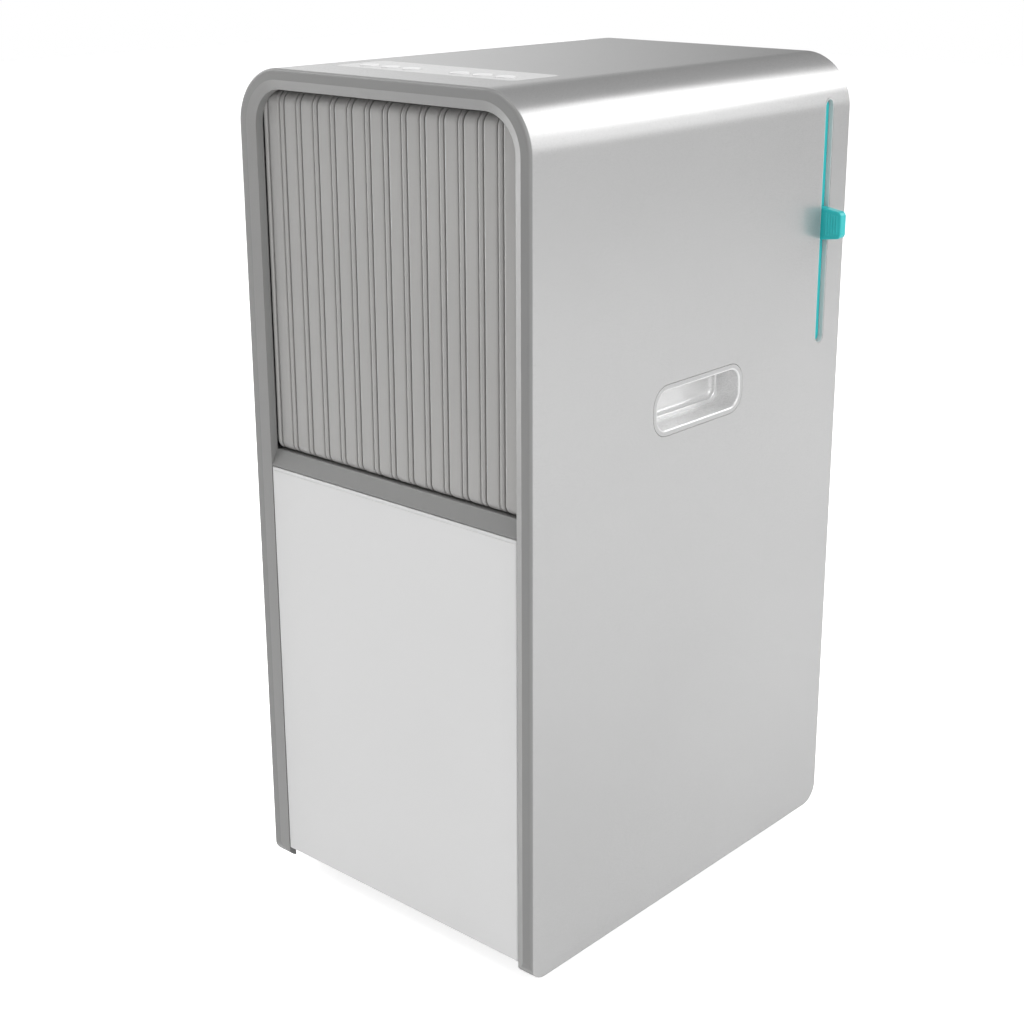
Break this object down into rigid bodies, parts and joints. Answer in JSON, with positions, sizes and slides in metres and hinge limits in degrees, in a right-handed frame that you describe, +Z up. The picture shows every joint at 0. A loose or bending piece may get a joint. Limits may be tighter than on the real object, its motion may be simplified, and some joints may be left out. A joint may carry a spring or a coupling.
{
  "type": "portable air conditioner",
  "caption": "Upright room cooler on four casters: silver sleeve, ribbed front outlet, side finger handles, slide-out filter and a rear exhaust collar.",
  "frame": {"origin": "on the floor, under the middle of the cabinet", "axes": "+Z up, the front faces -Y, the right side with the filter faces +X"},
  "size_m": [0.35, 0.44, 0.7628],
  "materials": {
    "silver_metal": "satin silver lacquer",
    "bezel_grey": "satin grey plastic",
    "grille_grey": "satin grey plastic",
    "panel_white": "fine-grained off-white plastic",
    "fascia_white": "smooth pale plastic",
    "button_white": "smooth white plastic",
    "cup_silver": "glossy silver lacquer",
    "teal_plastic": "satin teal plastic",
    "filter_net": "fine woven nylon net",
    "dark_plastic": "matt dark plastic",
    "black_rubber": "matt rubber",
    "steel": "zinc-plated steel",
    "black_steel": "black enamelled steel",
    "fins": "thin aluminium fins",
    "copper": "copper tube",
    "board_green": "printed circuit board"
  },
  "bodies": {
    "root": {"outer_shell": "silver_metal", "front_bezel": "bezel_grey", "front_panel": "panel_white", "outlet_sill": "bezel_grey", "outlet_grille": "grille_grey", "control_fascia": "fascia_white", "control_board": "board_green", "handle_cup_right": "cup_silver", "handle_cup_left": "cup_silver", "rear_panel": "bezel_grey", "panel_screws": "steel", "exhaust_collar": "dark_plastic", "cord_gland": "black_rubber", "base_pan": "dark_plastic", "bulkhead": "dark_plastic", "compressor": "black_steel", "compressor_feet": "black_rubber", "accumulator": "black_steel", "refrigerant_pipes": "copper", "run_capacitor": "steel", "evaporator_coil": "fins", "condenser_coil": "fins", "evaporator_scroll": "dark_plastic", "evaporator_motor": "steel", "condenser_scroll": "dark_plastic", "condenser_motor": "steel", "exhaust_duct": "dark_plastic", "filter_guide": "dark_plastic", "vane_frame": "dark_plastic", "vane_motor": "steel"},
    "filter": {"filter_frame": "teal_plastic", "filter_mesh": "filter_net"},
    "power_key": {"power_button": "button_white"},
    "mode_key": {"mode_button": "button_white"},
    "swing_key": {"swing_button": "button_white"},
    "timer_key": {"timer_button": "button_white"},
    "warmer_key": {"warmer_button": "button_white"},
    "cooler_key": {"cooler_button": "button_white"},
    "caster_fr": {"caster_yoke_fr": "dark_plastic", "caster_axle_fr": "steel"},
    "wheel_fr": {"caster_wheel_fr": "black_rubber"},
    "caster_fl": {"caster_yoke_fl": "dark_plastic", "caster_axle_fl": "steel"},
    "wheel_fl": {"caster_wheel_fl": "black_rubber"},
    "caster_rr": {"caster_yoke_rr": "dark_plastic", "caster_axle_rr": "steel"},
    "wheel_rr": {"caster_wheel_rr": "black_rubber"},
    "caster_rl": {"caster_yoke_rl": "dark_plastic", "caster_axle_rl": "steel"},
    "wheel_rl": {"caster_wheel_rl": "black_rubber"},
    "evaporator_fan": {"evaporator_wheel": "dark_plastic"},
    "condenser_fan": {"condenser_wheel": "dark_plastic"},
    "vane_body_1": {"vane_1": "dark_plastic"},
    "vane_body_2": {"vane_2": "dark_plastic"},
    "vane_body_3": {"vane_3": "dark_plastic"},
    "vane_body_4": {"vane_4": "dark_plastic"},
    "vane_body_5": {"vane_5": "dark_plastic"},
    "tie_bar": {"vane_link": "dark_plastic"},
    "upper_drain": {"upper_drain_plug": "black_rubber"},
    "lower_drain": {"lower_drain_plug": "black_rubber"}
  },
  "joints": [
    {"name": "filter_slide", "type": "slide", "parent": "root", "child": "filter", "axis": [1, 0, 0], "range_m": [0, 0.3]},
    {"name": "power_press", "type": "slide", "parent": "root", "child": "power_key", "axis": [0, 0, -1], "range_m": [0, 0.0012], "stiffness_N_per_m": 600, "springref_m": -0.0004},
    {"name": "mode_press", "type": "slide", "parent": "root", "child": "mode_key", "axis": [0, 0, -1], "range_m": [0, 0.0012], "stiffness_N_per_m": 600, "springref_m": -0.0004},
    {"name": "swing_press", "type": "slide", "parent": "root", "child": "swing_key", "axis": [0, 0, -1], "range_m": [0, 0.0012], "stiffness_N_per_m": 600, "springref_m": -0.0004},
    {"name": "timer_press", "type": "slide", "parent": "root", "child": "timer_key", "axis": [0, 0, -1], "range_m": [0, 0.0012], "stiffness_N_per_m": 600, "springref_m": -0.0004},
    {"name": "warmer_press", "type": "slide", "parent": "root", "child": "warmer_key", "axis": [0, 0, -1], "range_m": [0, 0.0012], "stiffness_N_per_m": 600, "springref_m": -0.0004},
    {"name": "cooler_press", "type": "slide", "parent": "root", "child": "cooler_key", "axis": [0, 0, -1], "range_m": [0, 0.0012], "stiffness_N_per_m": 600, "springref_m": -0.0004},
    {"name": "swivel_fr", "type": "hinge", "parent": "root", "child": "caster_fr", "pos_m": [0.122, -0.172, 0.06], "axis": [0, 0, 1], "continuous": true},
    {"name": "roll_fr", "type": "hinge", "parent": "caster_fr", "child": "wheel_fr", "pos_m": [0.122, -0.158, 0.019], "axis": [1, 0, 0], "continuous": true},
    {"name": "swivel_fl", "type": "hinge", "parent": "root", "child": "caster_fl", "pos_m": [-0.122, -0.172, 0.06], "axis": [0, 0, 1], "continuous": true},
    {"name": "roll_fl", "type": "hinge", "parent": "caster_fl", "child": "wheel_fl", "pos_m": [-0.122, -0.158, 0.019], "axis": [1, 0, 0], "continuous": true},
    {"name": "swivel_rr", "type": "hinge", "parent": "root", "child": "caster_rr", "pos_m": [0.122, 0.172, 0.06], "axis": [0, 0, 1], "continuous": true},
    {"name": "roll_rr", "type": "hinge", "parent": "caster_rr", "child": "wheel_rr", "pos_m": [0.122, 0.186, 0.019], "axis": [1, 0, 0], "continuous": true},
    {"name": "swivel_rl", "type": "hinge", "parent": "root", "child": "caster_rl", "pos_m": [-0.122, 0.172, 0.06], "axis": [0, 0, 1], "continuous": true},
    {"name": "roll_rl", "type": "hinge", "parent": "caster_rl", "child": "wheel_rl", "pos_m": [-0.122, 0.186, 0.019], "axis": [1, 0, 0], "continuous": true},
    {"name": "evaporator_spin", "type": "hinge", "parent": "root", "child": "evaporator_fan", "pos_m": [0, 0, 0.5565], "axis": [0, 1, 0], "continuous": true},
    {"name": "condenser_spin", "type": "hinge", "parent": "root", "child": "condenser_fan", "pos_m": [-0.0616, 0, 0.1455], "axis": [0, 1, 0], "continuous": true},
    {"name": "vane_swing_1", "type": "hinge", "parent": "root", "child": "vane_body_1", "pos_m": [-0.1, -0.1686, 0.58], "axis": [0, 0, 1], "range_deg": [-30, 30]},
    {"name": "vane_swing_2", "type": "hinge", "parent": "root", "child": "vane_body_2", "pos_m": [-0.05, -0.1686, 0.58], "axis": [0, 0, 1], "range_deg": [-30, 30]},
    {"name": "vane_swing_3", "type": "hinge", "parent": "root", "child": "vane_body_3", "pos_m": [0, -0.1686, 0.58], "axis": [0, 0, 1], "range_deg": [-30, 30]},
    {"name": "vane_swing_4", "type": "hinge", "parent": "root", "child": "vane_body_4", "pos_m": [0.05, -0.1686, 0.58], "axis": [0, 0, 1], "range_deg": [-30, 30]},
    {"name": "vane_swing_5", "type": "hinge", "parent": "root", "child": "vane_body_5", "pos_m": [0.1, -0.1686, 0.58], "axis": [0, 0, 1], "range_deg": [-30, 30]},
    {"name": "tie_bar_slide", "type": "slide", "parent": "root", "child": "tie_bar", "axis": [1, 0, 0], "range_m": [-0.0064, 0.0064]},
    {"name": "upper_drain_pull", "type": "slide", "parent": "root", "child": "upper_drain", "axis": [0, 1, 0], "range_m": [0, 0.03]},
    {"name": "lower_drain_pull", "type": "slide", "parent": "root", "child": "lower_drain", "axis": [0, 1, 0], "range_m": [0, 0.03]}
  ],
  "couplings": [
    {"joint": "vane_swing_1", "follows": "vane_swing_3", "ratio": 1},
    {"joint": "vane_swing_2", "follows": "vane_swing_3", "ratio": 1},
    {"joint": "vane_swing_4", "follows": "vane_swing_3", "ratio": 1},
    {"joint": "vane_swing_5", "follows": "vane_swing_3", "ratio": 1},
    {"joint": "tie_bar_slide", "follows": "vane_swing_3", "m_per_rad": -0.012}
  ]
}
